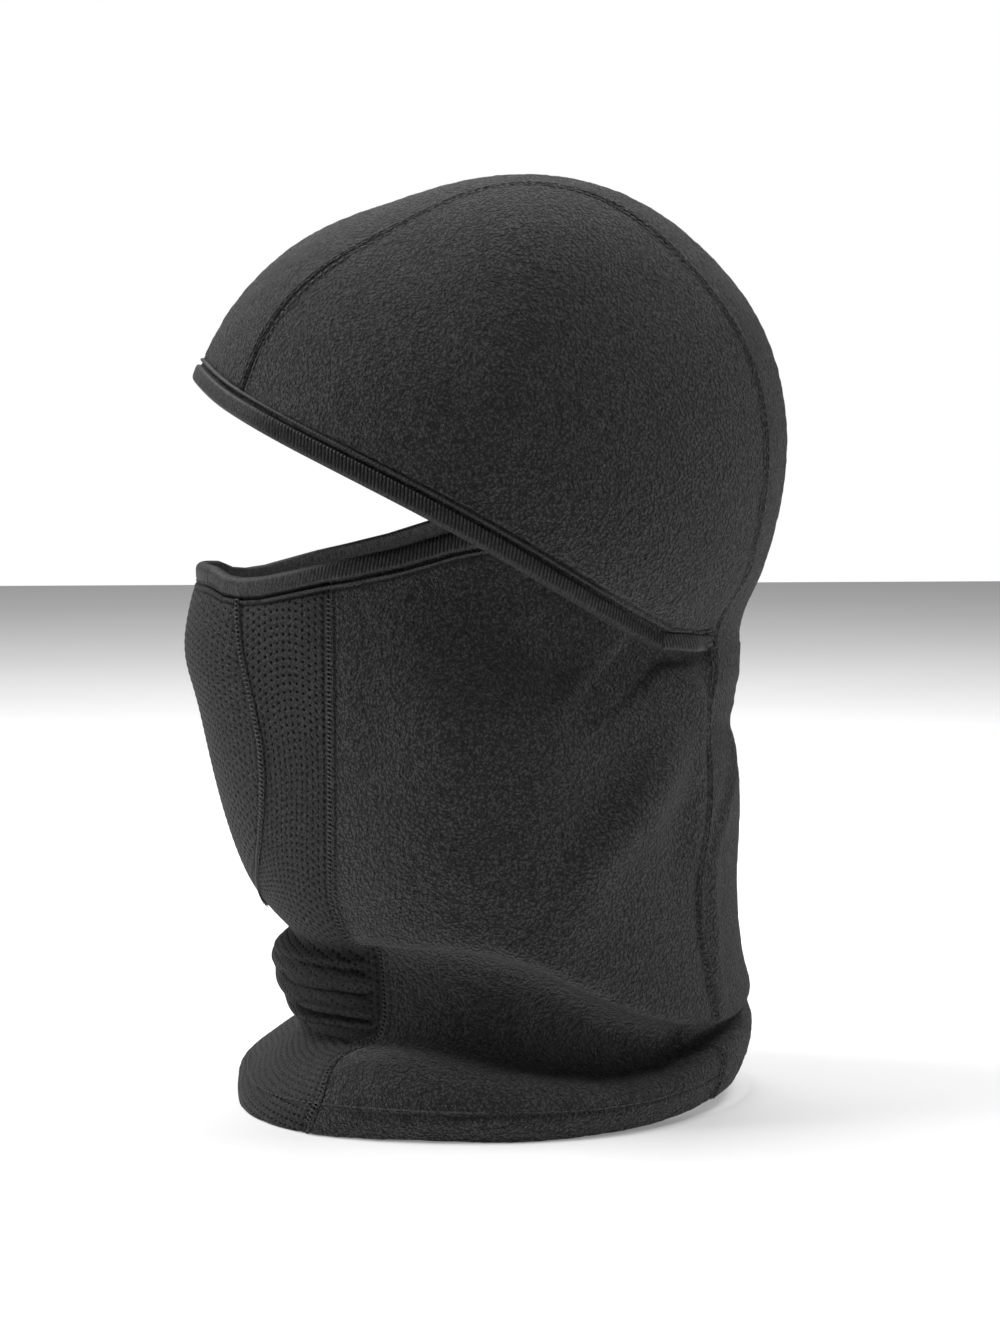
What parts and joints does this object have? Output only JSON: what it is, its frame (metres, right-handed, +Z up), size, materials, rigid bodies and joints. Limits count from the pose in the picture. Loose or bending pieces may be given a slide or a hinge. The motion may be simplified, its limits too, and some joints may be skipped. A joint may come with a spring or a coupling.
{
  "type": "balaclava",
  "caption": "Hinged balaclava: a fleece hood joined at the nape to a neck and face gaiter with perforated mouth panels and bound edges.",
  "frame": {"origin": "on the surface the hem stands on, under the middle of the object's box", "axes": "+Z up, the wearer faces -Y, and +X is the wearer's left"},
  "size_m": [0.1586, 0.2113, 0.3189],
  "materials": {
    "fleece": "brushed fleece",
    "mesh": "perforated knit",
    "binding": "ribbed knit tape",
    "thread": "twisted thread"
  },
  "bodies": {
    "gaiter": {"neck_side_panel_left": "fleece", "neck_side_panel_right": "fleece", "neck_back_panel": "fleece", "mouth_panel": "mesh", "mesh_side_panel_left": "mesh", "mesh_side_panel_right": "mesh", "mask_edge_binding": "binding", "hem_fold_band": "fleece", "mouth_seam_stitch": "thread", "front_seam_stitch_left": "thread", "front_seam_stitch_right": "thread", "back_seam_stitch_left": "thread", "back_seam_stitch_right": "thread", "mask_binding_stitch": "thread", "hem_stitch": "thread"},
    "hood": {"crown_strip": "fleece", "hood_side_panel_left": "fleece", "hood_side_panel_right": "fleece", "hood_edge_binding": "binding", "rear_hem_tab_left": "fleece", "rear_hem_tab_right": "fleece", "crown_seam_stitch_left": "thread", "crown_seam_stitch_right": "thread", "hood_binding_stitch": "thread"}
  },
  "joints": [
    {"name": "nape_fold", "type": "hinge", "parent": "gaiter", "child": "hood", "pos_m": [0, 0.0872, 0.157], "axis": [-1, 0, 0], "range_deg": [0, 100]}
  ]
}
